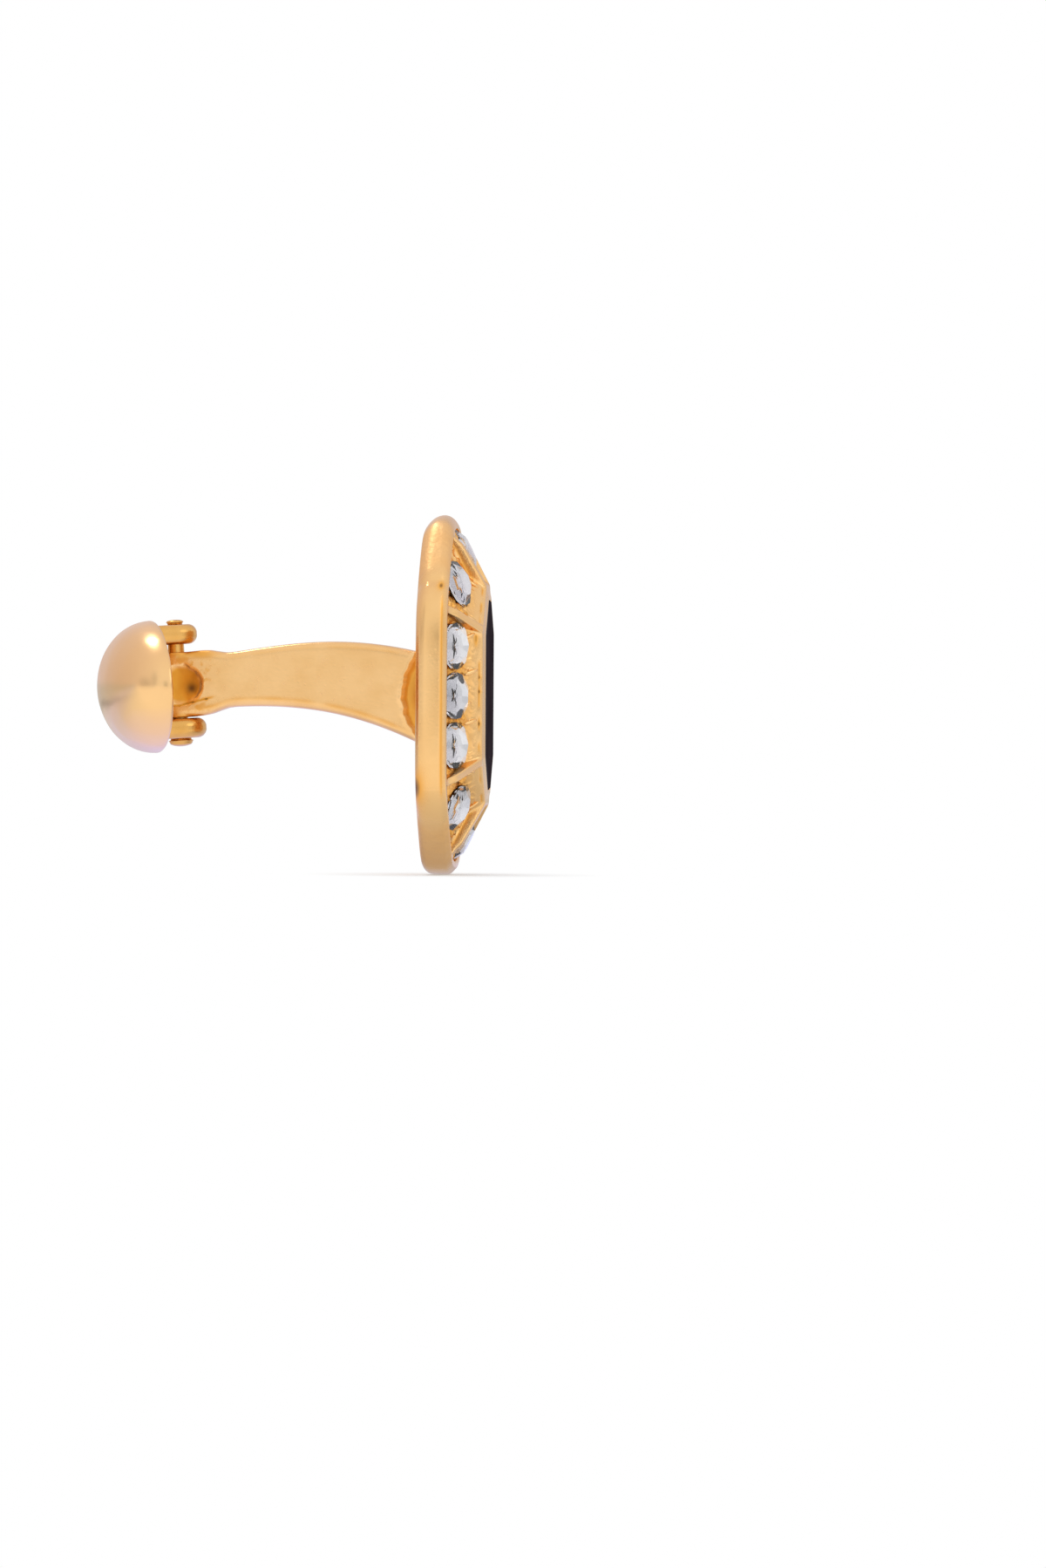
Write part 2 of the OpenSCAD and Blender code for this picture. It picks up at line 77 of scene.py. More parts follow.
def moulded_copy(node, name, grain, passes):
    """A CAD solid as it leaves the mould: welded, with an even skin and softened edges, in millimetres."""
    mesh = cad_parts[node].data.copy()
    mesh.transform(Matrix.Scale(1 / mm, 4))
    weld = bmesh.new()
    weld.from_mesh(mesh)
    bmesh.ops.remove_doubles(weld, verts=weld.verts, dist=0.0005)
    weld.to_mesh(mesh)
    weld.free()
    blank = mesh_piece("blank", mesh)
    skin = blank.modifiers.new("even skin", "REMESH")
    skin.mode = "VOXEL"
    skin.voxel_size = grain
    soften = blank.modifiers.new("soft edges", "SMOOTH")
    soften.factor = 0.5
    soften.iterations = passes
    made = finished_mesh(blank)
    bpy.data.objects.remove(blank)
    made.name = name
    made.materials.clear()
    made.shade_smooth()
    return mesh_piece(name, made)


def points_of(mesh, kind="co"):
    """A mesh's points, or their normals, as rows of x, y and z."""
    flat = np.empty(len(mesh.vertices) * 3, np.float32)
    mesh.vertices.foreach_get(kind, flat)
    return flat.reshape(-1, 3).astype(float)


def put_points(mesh, points):
    """Moves a mesh's points to these rows."""
    mesh.vertices.foreach_set("co", points.astype(np.float32).ravel())
    mesh.update()


def tag_points(mesh, name, values):
    """Gives every point of a mesh a value that its finish reads."""
    mesh.attributes.new(name, "FLOAT", "POINT").data.foreach_set("value", values.astype(np.float32))


def settle(piece, node):
    """Brings a piece from millimetres to metres, and keeps its skin inside the box of the solid that it
    copies. Only the bezel's lip stands a little higher."""
    low, high = [np.array(corner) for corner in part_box(node)]
    if node == "setting_frame":
        high[0] += lip_lift * mm
    put_points(piece.data, np.clip(points_of(piece.data) * mm, low, high))


def step(value, low, high):
    """0 below low, 1 above high, and a soft rise between them."""
    t = np.clip((value - low) / (high - low), 0, 1)
    return t * t * (3 - 2 * t)


def round_over(points, side_depth, face_depth, side_in, face_in, radius):
    """Rounds an edge over: points nearer the edge than its radius move in onto the round."""
    a, b = side_depth - radius, face_depth - radius
    far = np.hypot(a, b)
    pull = np.where((a < 0) & (b < 0) & (far > radius), radius / np.maximum(far, 1e-9) - 1, 0)
    return points + side_in * (a * pull)[:, None] + face_in * (b * pull)[:, None]


def in_from_outline(points, softness):
    """How far in from the head's outline each point lies, the same for a soft-cornered outline, the
    way in, and how far it is from the nearest mitre of the channel."""
    along, across = head_middle - points[:, 2], points[:, 1]
    depths = np.stack([
        half_len - np.abs(along), half_wide - np.abs(across),
        corner_distance - (np.abs(along) + np.abs(across)) / math.sqrt(2)])
    low = depths.min(axis=0)
    share = np.exp(-(depths - low) / softness)
    total = share.sum(axis=0)
    share /= total
    way_in = np.stack([
        np.zeros(len(points)), -(share[1] + share[2] / math.sqrt(2)) * np.sign(across),
        (share[0] + share[2] / math.sqrt(2)) * np.sign(along)], axis=1)
    way_in /= np.maximum(np.linalg.norm(way_in, axis=1), 1e-6)[:, None]
    mitre = (np.sort(depths, axis=0)[1] - low) / mitre_half
    return low, low - softness * np.log(total), way_in, mitre


channel_width, row_share, stone_pitch = 2.48, 0.56, 2.75
row_inset = rim_width + channel_width * row_share
side_distance = [half_len, corner_distance, half_wide, corner_distance]
stone_rows = [(side, along) for side in range(8)
              for along in ([-stone_pitch, 0, stone_pitch] if side % 4 == 2 else [0])]


def place_on_side(side, inset, along, lift, tilt):
    """Where a setting stands on one side of the channel: its matrix in the row frame, in metres."""
    distance, shift = side_distance[side % 4], 0.0
    if side % 2:
        shift = (half_len - half_wide) / math.sqrt(2) * (-1 if side % 4 == 1 else 1)
    level = floor_start + (inset - rim_width) * floor_rise
    setting = (
        Matrix.Translation((head_back, 0, head_middle)) @ Matrix.Rotation(math.pi / 2, 4, "Y")
        @ Matrix.Rotation(side * math.pi / 4, 4, "Z")
        @ Matrix.Translation((distance - inset, shift + along, level))
        @ Matrix.Rotation(tilt, 4, "Y") @ Matrix.Translation((0, 0, lift)))
    setting.translation *= mm
    return setting


def bell(value, half):
    """1 at zero, with a soft fall to both sides."""
    return np.exp(-(value / half) ** 2)


def on_corner(way_in, low, high):
    """1 on the four corner facets of the outline and 0 on its straight sides, with a soft change between."""
    return step(np.minimum(np.abs(way_in[:, 1]), np.abs(way_in[:, 2])), low, high)


def along_corner(shape):
    """How far each point lies along its corner facet towards the head's top or bottom. Zero is where it
    is as far along the head as across it."""
    return (np.abs(shape[:, 2] - head_middle) - np.abs(shape[:, 1])) / math.sqrt(2)


# The edges' radii: at the sides, how much more at the top and how much less at the bottom.
back_round, front_round = (0.62, 0.45, 0.32), (0.45, 0.25, 0.1)
corner_softness, barrel = 0.6, 0.05
dent_middle, dent_half, dent_depth = 0.07, 0.35, 0.085


def tumbled(shape):
    """The head's outline with soft corners, its long edges rounded over, most of all at the top, a little
    barrel in its walls and a shallow dent in the near upper facet."""
    inset, soft_inset, way_in, mitre = in_from_outline(shape, corner_softness)
    shape = shape + way_in * ((inset - soft_inset) * (1 - step(inset, 0.8, 1.8)))[:, None]
    height = shape[:, 0] - head_back
    upward = np.clip(-way_in[:, 2], 0, 1) ** 2
    downward = np.clip(way_in[:, 2], 0, 1) ** 2
    forward = np.array([[1.0, 0, 0]])
    for depth, face_in, (sides, more_above, less_below) in (
            (height, forward, back_round), (rim_top - height, -forward, front_round)):
        radius = sides + more_above * upward - less_below * downward
        shape = round_over(shape, inset, depth, way_in, face_in, radius)
    pressed = barrel * ((height - rim_top / 2) / (rim_top / 2)) ** 2 * (1 - step(inset, 0.2, 0.7))
    dented = on_corner(way_in, 0.4, 0.65) * ((shape[:, 1] < 0) & (shape[:, 2] > head_middle))
    dented = dent_depth * bell(along_corner(shape) - dent_middle, dent_half) * dented
    pressed += dented * (1 - step(inset, 0.4, 0.7))
    return shape + way_in * pressed[:, None], inset, way_in, mitre


# Where the channel lies in shade, painted as deeper and darker gilding: under the bars, in from the rim,
# short of the bezel, off the back and round each seat. Each pair is where it begins and where it is full.
bar_shade, rim_side, bezel_side = (0.16, 0.46), (0.6, 0.8), (3.8, 3.95)
above_back, seat_shade = (1, 1.2), (1.35, 1.85)
# The channel's floor is uneven; its flank has a worn groove and the graver's pits, darkened with painted
# shade.
broad_dent, ridge_rise, fine_dent, floor_sink, least_shade = 0.11, 0.12, 0.05, 0.03, 0.15
groove_depth, groove_shade = 0.04, 1.15
pit_pitch, pit_half, graver_depth, pit_shade = 0.77, 0.075, 0.05, 2.2
pit_draws = (12.99, 437.6), (78.23, 917.1)
# On the rim: a painted dark reflection line round it; painted shade on the near wall, low down and at a
# joint (middle, half length, height and half height of each); scuffs on its corner facets and a burnished
# spot on the upper ones.
rim_line, rim_line_half, rim_line_shade = 1.47, 0.065, 1.25
low_wall_shade, joint, wall_shade_tone, near_wall = (4.9, 0.95, 0.02, 0.45), (6.1, 0.22, 1.36, 0.17), 1.6, -5.8
scuff_end, burnish, burnish_middle, burnish_half = 6.0, 0.45, -0.15, 0.35


def graver_pits(shape, inset, way_in):
    """How deep each point lies in the pits that the graver left high on the channel's flank: one in each
    short stretch of it, with a place and a size of its own."""
    way_round = shape[:, 1] * way_in[:, 2] - (shape[:, 2] - head_middle) * way_in[:, 1]
    stretch = np.floor(way_round / pit_pitch)
    place, size = [np.modf(np.abs(np.sin(stretch * turns)) * spread)[0] for turns, spread in pit_draws]
    off = way_round - (stretch + 0.15 + 0.7 * place) * pit_pitch
    pits = bell(off, pit_half * (0.6 + size)) * size ** 2
    return pits * bell(inset - flank_end + 0.12 - 0.2 * place, 0.08)


def uneven(point, scale, shift=(0, 0, 0)):
    """Smooth noise at a point, drawn apart from the other noises by its shift."""
    return noise.noise(point * scale + Vector(shift))


casting = moulded_copy("setting_frame", "setting_casting", frame_grain, frame_passes)
shape, inset, way_in, mitre = tumbled(points_of(casting.data))
over_stone = step(inset, *lip_insets) * step(shape[:, 0] - head_back, *lip_heights)
shape += way_in * (lip_reach * over_stone)[:, None]
shape[:, 0] += lip_lift * over_stone
put_points(casting.data, shape)

height = shape[:, 0] - head_back
normals = points_of(casting.data, "normal")
bar_top = floor_start + bar_rise
bar_line = bar_top + (inset - rim_width) * (bezel_top - floor_start - bar_rise) / (bezel_edge - rim_width)
hollow = step(bar_line - height, *bar_shade)
hollow = hollow * step(inset, *rim_side) * (1 - step(inset, *bezel_side)) * step(height, *above_back)
near_stone = np.zeros(len(shape))
for side, along in stone_rows:
    seat = np.array(place_on_side(side, row_inset, along, 0, 0).translation) / mm
    off_seat = np.linalg.norm((shape - seat)[:, 1:], axis=1)
    near_stone = np.maximum(near_stone, 1 - step(off_seat, *seat_shade))
facing = step(normals[:, 0], 0.05, 0.4)
in_floor = hollow * facing * step(mitre, 0.24, 0.4)
in_floor = in_floor * (1 - 0.6 * step(inset, channel_foot - 0.1, channel_foot + 0.1))
on_flank = facing * step(mitre, 0.3, 0.45)
up_flank = step(inset, channel_foot - 0.1, channel_foot + 0.15)
groove = bell(inset - flank_end - 0.02, 0.05)
pits = graver_pits(shape, inset, way_in)
moved = np.zeros(len(shape))
for i in np.nonzero((in_floor > 0.01) | (on_flank * np.maximum(groove, pits) > 0.02))[0]:
    p = Vector(shape[i])
    broad, fine = uneven(p, 1.7, (3.1, 7.7, 1.3)), uneven(p, 6.0)
    ridge = max(0.0, 1 - abs(uneven(p, 1.9, (9.2, 0.4, 5.5))) * 7)
    worn_groove = groove[i] * min(1.0, max(0.0, 0.6 + 2.5 * uneven(p, 1.3, (0, 4.4, 8.1))))
    moved[i] = in_floor[i] * (broad_dent * broad + ridge_rise * ridge + fine_dent * fine - floor_sink)
    moved[i] -= on_flank[i] * (groove_depth * worn_groove + graver_depth * pits[i])
    # Painted shade in the channel: deeper near the stones and in the floor's dents, lighter up the flank, and
    # darker in the worn groove and the graver's pits.
    in_shade = min(1.0, max(least_shade, 0.6 + 0.6 * near_stone[i] + 1.2 * broad))
    in_shade = hollow[i] * (1 - 0.65 * up_flank[i]) * in_shade
    hollow[i] = max(in_shade, on_flank[i] * groove_shade * worn_groove) + pit_shade * on_flank[i] * pits[i]
shape += normals * moved[:, None]
put_points(casting.data, shape)

# A painted dark reflection line along the rim's long walls.
on_wall = step(np.abs(way_in[:, 1]), 0.8, 0.97) * (1 - step(inset, 0.3, 0.6))
hollow = np.maximum(hollow, rim_line_shade * on_wall * bell(height - rim_line, rim_line_half))
# Painted shade on the near wall: low down, and at the upper joint with the corner facet.
at_low_shade, at_joint = [
    np.exp(-((level - middle) / half_long) ** 2 - ((height - depth) / half_tall) ** 2)
    for level, (middle, half_long, depth, half_tall) in (
        (shape[:, 2], low_wall_shade), (np.abs(shape[:, 2] - head_middle), joint))]
wall_shades = wall_shade_tone * np.maximum(at_low_shade, at_joint * (shape[:, 2] > head_middle))
hollow = np.maximum(hollow, wall_shades * (shape[:, 1] < near_wall))
tag_points(casting.data, "hollow", hollow)
worn = on_corner(way_in, 0.3, 0.6) * (1 - step(inset, 0.6, 1.0))
worn *= 1 - step(np.abs(shape[:, 1]), scuff_end - 0.8, scuff_end)
on_facet = on_corner(way_in, 0.2, 0.5) * (shape[:, 2] > head_middle)
worn -= burnish * on_facet * bell(along_corner(shape) - burnish_middle, burnish_half)
tag_points(casting.data, "worn", worn)
settle(casting, "setting_frame")
thin = casting.modifiers.new("fewer faces", "DECIMATE")
thin.ratio = min(1.0, frame_triangles / (2 * len(casting.data.polygons)))
fewer = finished_mesh(casting)
casting.modifiers.clear()
casting.data = fewer
casting.data.shade_smooth()


def shader_node(tree, kind, inputs=None, **settings):
    """A node with its settings and inputs. A socket given as an input is linked."""
    made = tree.nodes.new(kind)
    for key, value in settings.items():
        setattr(made, key, value)
    for key, value in (inputs or {}).items():
        if isinstance(value, bpy.types.NodeSocket):
            tree.links.new(value, made.inputs[key])
        else:
            made.inputs[key].default_value = value
    return made


def new_material(name):
    """A material with its principled shader wired to the output."""
    material = bpy.data.materials.new(name)
    material.use_nodes = True
    tree = material.node_tree
    tree.nodes.clear()
    shader = shader_node(tree, "ShaderNodeBsdfPrincipled")
    output = shader_node(tree, "ShaderNodeOutputMaterial", {"Surface": shader.outputs[0]})
    return material, tree, shader, output


def ramp(tree, factor, stops):
    """A colour ramp from a list of places and colours."""
    made = shader_node(tree, "ShaderNodeValToRGB", {"Fac": factor})
    elements = made.color_ramp.elements
    while len(elements) < len(stops):
        elements.new(0.5)
    for element, (place, value) in zip(elements, stops):
        element.position = place
        element.color = (*value, 1)
    return made.outputs["Color"]


def stretched(tree, stretch=(1, 1, 1)):
    """Object coordinates, drawn out along an axis."""
    where = shader_node(tree, "ShaderNodeTexCoord")
    return shader_node(tree, "ShaderNodeMapping", {
        "Vector": where.outputs["Object"], "Scale": stretch}).outputs[0]


def between(tree, value, low, high, start, end):
    """A value brought from one range to another."""
    return shader_node(tree, "ShaderNodeMapRange", {
        "Value": value, "From Min": low, "From Max": high, "To Min": start, "To Max": end}).outputs[0]


def maths(tree, kind, a, b):
    """A node that works out one value from two."""
    return shader_node(tree, "ShaderNodeMath", {0: a, 1: b}, operation=kind).outputs[0]


def clouds(tree, where, scale, detail=2):
    """Soft cloudy noise, from 0 to 1."""
    made = shader_node(tree, "ShaderNodeTexNoise", {"Vector": where, "Scale": scale, "Detail": detail})
    return made.outputs["Fac"]


def tagged(tree, name):
    """The value that the mesh carries under this name."""
    return shader_node(tree, "ShaderNodeAttribute", attribute_name=name).outputs["Fac"]


def mixed(tree, share, first, second, how="MIX"):
    """Two colours, mixed or multiplied."""
    return shader_node(tree, "ShaderNodeMixRGB", {0: share, 1: first, 2: second}, blend_type=how).outputs[0]


def shader_mix(tree, share, first, second):
    """Two finishes, mixed."""
    return shader_node(tree, "ShaderNodeMixShader", {
        0: share, 1: first.outputs[0], 2: second.outputs[0]})


# In painted shade: how much duller, how metallic, and where the painted dark brown shade is full and its
# colour. Where it is worn: how much duller, and the size of the scuffs.
hollow_dull, hollow_metal, darkest_shade_at, dark_shade_colour = 0.18, 0.75, 1.6, (0.2, 0.09, 0.02, 1)
worn_dull, scuff_size = 0.28, 0.4


def gilding(name, light, deep, polish, patch, grain, grain_depth, pit_depth, stretch=(1, 1, 1),
            in_hollows=None, scuffed=0):
    """Gilt metal: soft patches of colour, a polish that varies, fine grain and a few pits. Painted shade
    makes the gilding deeper, duller and less metallic where the mesh's shade attribute ("hollow") says so,
    and a painted dark brown shade where that is above 1. It is scuffed where "worn" says so, and burnished
    where that is below 0. Sizes in millimetres."""
    material, tree, shader, _ = new_material(name)
    even, drawn = stretched(tree), stretched(tree, stretch)
    patches, grains = clouds(tree, even, 1 / (patch * mm), 4), clouds(tree, drawn, 1 / (grain * mm), 4)
    holes = shader_node(tree, "ShaderNodeTexVoronoi", {"Vector": even, "Scale": 0.3 / (grain * mm)})
    colour = ramp(tree, patches, [(0.3, deep), (0.62, light)])
    gloss = between(tree, clouds(tree, drawn, 3 / (patch * mm), 6), 0.3, 0.7, *polish)
    shader.inputs["Metallic"].default_value = 1
    # Painted shade: a deeper orange gilding up to 1 on the shade attribute, and a painted dark brown above 1.
    if in_hollows:
        hollow_tag = tagged(tree, "hollow")
        shallow = maths(tree, "MINIMUM", hollow_tag, 1.0)
        colour = mixed(tree, shallow, colour, (*in_hollows, 1))
        colour = mixed(tree, between(tree, hollow_tag, 1.0, darkest_shade_at, 0, 1), colour, dark_shade_colour)
        gloss = maths(tree, "ADD", gloss, maths(tree, "MULTIPLY", shallow, hollow_dull))
        tree.links.new(between(tree, hollow_tag, 0, 1, 1, hollow_metal), shader.inputs["Metallic"])
    tree.links.new(colour, shader.inputs["Base Color"])
    pits = between(tree, holes.outputs["Distance"], 0.04, 0.13, 0, 1)
    pitted = shader_node(tree, "ShaderNodeBump", {"Height": pits, "Distance": pit_depth * mm})
    if scuffed:
        worn_tag = tagged(tree, "worn")
        gloss = maths(tree, "ADD", gloss, maths(tree, "MULTIPLY", worn_tag, worn_dull))
        pitted = shader_node(tree, "ShaderNodeBump", {
            "Strength": between(tree, worn_tag, 0, 1, 0.05, 1), "Distance": scuffed * mm,
            "Height": clouds(tree, even, 1 / (scuff_size * mm), 5), "Normal": pitted.outputs[0]})
    grained = shader_node(tree, "ShaderNodeBump", {
        "Height": grains, "Distance": grain_depth * mm, "Normal": pitted.outputs[0]})
    tree.links.new(gloss, shader.inputs["Roughness"])
    tree.links.new(grained.outputs[0], shader.inputs["Normal"])
    return material


casting.data.materials.append(gilding(
    "tumbled_gilt", (0.88, 0.555, 0.245), (0.85, 0.515, 0.21), (0.2, 0.28), 2.5, 0.16, 0.004, 0.006,
    in_hollows=(0.87, 0.43, 0.085), scuffed=0.05))
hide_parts("setting_frame")
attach(casting, "head")


# The back plate: flat gilt sheet pressed into the frame's recess and soldered round its edge.
# Its finish is brushed along the head, and its edge was rounded over together with the frame's.
plate_finish = gilding(
    "brushed_gilt_plate", (0.87, 0.545, 0.235), (0.83, 0.5, 0.2), (0.22, 0.34), 3.0, 0.1, 0.004, 0.003,
    (1, 1, 0.06))
plate = moulded_copy("back_plate", "backing_plate", 0.1, 1)
put_points(plate.data, tumbled(points_of(plate.data))[0])
settle(plate, "back_plate")
plate.data.materials.append(plate_finish)
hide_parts("back_plate")
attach(plate, "head")


# The centre stone: a slab of near-black stone with a bevelled table, set in the bezel.
# It is cut flat and polished, and it keeps the CAD shape.
dark_finish, dark_tree, dark_shader, dark_out = new_material("polished_dark_stone")
dark_colour = ramp(dark_tree, clouds(dark_tree, stretched(dark_tree, (1, 1, 0.5)), 700, 3), [
    (0.35, (0.022, 0.016, 0.02)), (0.7, (0.034, 0.026, 0.032))])
dark_tree.links.new(dark_colour, dark_shader.inputs["Base Color"])
dark_shader.inputs["Roughness"].default_value = 0.08
dark_shader.inputs["Specular IOR Level"].default_value = 0.4
dull_side = shader_node(dark_tree, "ShaderNodeBsdfPrincipled", {
    "Base Color": dark_colour, "Roughness": 0.8, "Specular IOR Level": 0.0})
along_sight = shader_node(dark_tree, "ShaderNodeLayerWeight", {"Blend": 0.5})
dull_share = between(dark_tree, along_sight.outputs["Facing"], 0.72, 0.9, 0.0, 1.0)
dark_mix = shader_mix(dark_tree, dull_share, dark_shader, dull_side)
dark_tree.links.new(dark_mix.outputs[0], dark_out.inputs["Surface"])


def dress(node, finish):
    """Gives its finish to a piece that keeps the CAD shape."""
    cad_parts[node].data.materials.clear()
    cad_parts[node].data.materials.append(finish)


dress("centre_stone", dark_finish)


# The round stones: twelve clear crystals with foiled backs, each in its own cone-shaped seat.
# One is cut here with eight large facets above and below, and a node tree sets a turned copy in every seat.
stone_radius, table_radius, crown_height = 1.3, 0.725, 0.42
girdle_half, girdle_lift, facets = 0.05, 0.18, 8
pavilion_rise, mirror_rise, foil_gap = math.tan(math.radians(40)), math.tan(math.radians(4)), 0.01


def cut_stone():
    """The points of a stone and its facets, front and back, with its girdle at height zero, in millimetres.
    Its back is a shallow mirror just under the girdle, with the full cone beneath it."""
    count = 2 * facets
    reach_in = stone_radius * (1 - math.cos(math.pi / facets))
    fall = (crown_height - girdle_half) / (stone_radius - table_radius * math.cos(math.pi / facets))

    def ring(radius, level, other_level, number=count):
        return [(radius * math.cos(2 * math.pi * k / number), radius * math.sin(2 * math.pi * k / number),
                 other_level if k % 2 else level) for k in range(number)]

    points = ring(table_radius, crown_height, crown_height, facets)
    points += ring(stone_radius, girdle_half + reach_in * fall, girdle_half)
    points += ring(stone_radius, -girdle_half, -girdle_half - reach_in * mirror_rise)
    points.append((0, 0, -stone_radius * mirror_rise - girdle_half))
    top, low, culet = facets, facets + count, facets + 2 * count
    under = len(points)
    points += ring(
        stone_radius, -girdle_half - foil_gap, -girdle_half - foil_gap - reach_in * pavilion_rise)
    points.append((0, 0, -stone_radius * mirror_rise - girdle_half - foil_gap))
    points.append((0, 0, -stone_radius * pavilion_rise - girdle_half))
    front, back = [list(range(facets))], []
    for i in range(facets):
        j, a, b, c = (i + 1) % facets, 2 * i, 2 * i + 1, (2 * i + 2) % count
        before = (a - 1) % count
        front += [[i, top + a, top + b, top + c, j]]
        front += [[top + a, low + a, low + b, top + b], [top + b, low + b, low + c, top + c]]
        back += [[low + before, culet, low + b, low + a]]
        back += [[under + before, under + count + 1, under + b, under + a]]
        back += [[under + a, under + b, under + count], [under + before, under + a, under + count]]
    return points, front, back


cut_points, front_facets, back_facets = cut_stone()
crystal = bpy.data.meshes.new("crystal")
crystal.from_pydata([Vector(p) * mm for p in cut_points], [], front_facets + back_facets)
facing_out = bmesh.new()
facing_out.from_mesh(crystal)
bmesh.ops.recalc_face_normals(facing_out, faces=facing_out.faces)
facing_out.to_mesh(crystal)
facing_out.free()
foiled = crystal.attributes.new("foil", "FLOAT", "FACE")
foiled.data.foreach_set("value", [0.0] * len(front_facets) + [1.0] * len(back_facets))
crystal_blank = mesh_piece("crystal_blank", crystal)


def points_with_turns(name, places, more):
    """One point for each place, with its turn, its own spin and size."""
    mesh = bpy.data.meshes.new(name)
    mesh.from_pydata([p.translation for p in places], [], [])
    turns = mesh.attributes.new("turn", "FLOAT_VECTOR", "POINT")
    turns.data.foreach_set("vector", [x for p in places for x in p.to_euler()])
    for key, values in more.items():
        mesh.attributes.new(key, "FLOAT", "POINT").data.foreach_set("value", values)
    return mesh_piece(name, mesh)


def group_socket(tree, name, kind, default=None):
    """A named input of a node tree."""
    made = tree.interface.new_socket(name, in_out="INPUT", socket_type=kind)
    if default is not None:
        made.default_value = default
    return made.identifier


def setting_tree(name):
    """Node tree that puts a turned and sized copy of a part at every point and gives it its finish."""
    tree = bpy.data.node_groups.new(name, "GeometryNodeTree")
    tree.interface.new_socket("Geometry", in_out="OUTPUT", socket_type="NodeSocketGeometry")
    sockets = {"Points": group_socket(tree, "Points", "NodeSocketGeometry")}
    sockets["Part"] = group_socket(tree, "Part", "NodeSocketObject")
    sockets["Size"] = group_socket(tree, "Size", "NodeSocketFloat", 1.0)
    sockets["Finish"] = group_socket(tree, "Finish", "NodeSocketMaterial")
    given = shader_node(tree, "NodeGroupInput")
    part = shader_node(tree, "GeometryNodeObjectInfo", {"Object": given.outputs["Part"]})
    turn = shader_node(tree, "GeometryNodeInputNamedAttribute", {"Name": "turn"}, data_type="FLOAT_VECTOR")
    turned = shader_node(tree, "FunctionNodeEulerToRotation", {"Euler": turn.outputs["Attribute"]})
    spin = shader_node(tree, "GeometryNodeInputNamedAttribute", {"Name": "spin"}, data_type="FLOAT")
    about = shader_node(tree, "ShaderNodeCombineXYZ", {"Z": spin.outputs["Attribute"]})
    spun = shader_node(tree, "FunctionNodeEulerToRotation", {"Euler": about.outputs[0]})
    both = shader_node(tree, "FunctionNodeRotateRotation", {
        "Rotation": turned.outputs[0], "Rotate By": spun.outputs[0]}, rotation_space="LOCAL")
    size = shader_node(tree, "GeometryNodeInputNamedAttribute", {"Name": "size"}, data_type="FLOAT")
    scaled = shader_node(tree, "ShaderNodeMath", {0: size.outputs["Attribute"], 1: given.outputs["Size"]},
                         operation="MULTIPLY")
    copies = shader_node(tree, "GeometryNodeInstanceOnPoints", {
        "Points": given.outputs["Points"], "Instance": part.outputs["Geometry"],
        "Rotation": both.outputs[0], "Scale": scaled.outputs[0]})
    real = shader_node(tree, "GeometryNodeRealizeInstances", {"Geometry": copies.outputs[0]})
    finished = shader_node(tree, "GeometryNodeSetMaterial", {
        "Geometry": real.outputs[0], "Material": given.outputs["Finish"]})
    shader_node(tree, "NodeGroupOutput", {"Geometry": finished.outputs[0]})
    return tree, sockets


def set_parts(points, part, size, finish, name):
    """Runs the setting tree on the points and returns the result as one plain piece."""
    tree, sockets = setting_tree("set_" + name)
    setter = points.modifiers.new("setting", "NODES")
    setter.node_group = tree
    setter[sockets["Part"]] = part
    setter[sockets["Size"]] = size
    setter[sockets["Finish"]] = finish
    result = finished_mesh(points)
    result.name = name
    bpy.data.objects.remove(points)
    bpy.data.objects.remove(part)
    return mesh_piece(name, result)


stone_finish, stone_tree, glass, stone_out = new_material("foiled_crystal")
glass.inputs["Base Color"].default_value = (0.97, 0.975, 0.98, 1)
glass.inputs["Transmission Weight"].default_value = 0.98
glass.inputs["Roughness"].default_value = 0.0
glass.inputs["IOR"].default_value = 1.5
foil_colour = ramp(stone_tree, clouds(stone_tree, stretched(stone_tree), 260), [
    (0.36, (0.7, 0.7, 0.73)), (0.6, (0.86, 0.85, 0.87))])
foil = shader_node(stone_tree, "ShaderNodeBsdfPrincipled", {
    "Base Color": foil_colour, "Metallic": 1, "Roughness": 0.04})
stone_mix = shader_mix(stone_tree, tagged(stone_tree, "foil"), glass, foil)
stone_tree.links.new(stone_mix.outputs[0], stone_out.inputs["Surface"])

stone_draw = random.Random(7)
stone_places = [place_on_side(side, row_inset, along, girdle_lift, seat_tilt) for side, along in stone_rows]
stone_points = points_with_turns("stone_points", stone_places, {
    "spin": [stone_draw.uniform(0, math.pi / 4) for _ in stone_rows], "size": [1.0] * len(stone_rows)})
stones = set_parts(stone_points, crystal_blank, 1.0, stone_finish, "round_stones")
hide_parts(*["stone_%02d" % (i + 1) for i in range(len(stone_rows))])
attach(stones, "head")


# The graver's ridges: little bent burrs of gilt metal that run from between the stones up the channel's
# flank. They were raised when the metal was pushed over the stones. A node tree sets one bent ridge in
# every place.
ridge_length, ridge_half, ridge_rings, ridge_sides = 0.95, 0.125, 12, 8
ridge_bend, ridge_lift, ridge_droop, ridge_flat = 0.03, 0.02, 0.09, 0.8
flank_tilt = math.atan2(0.8, 0.55)

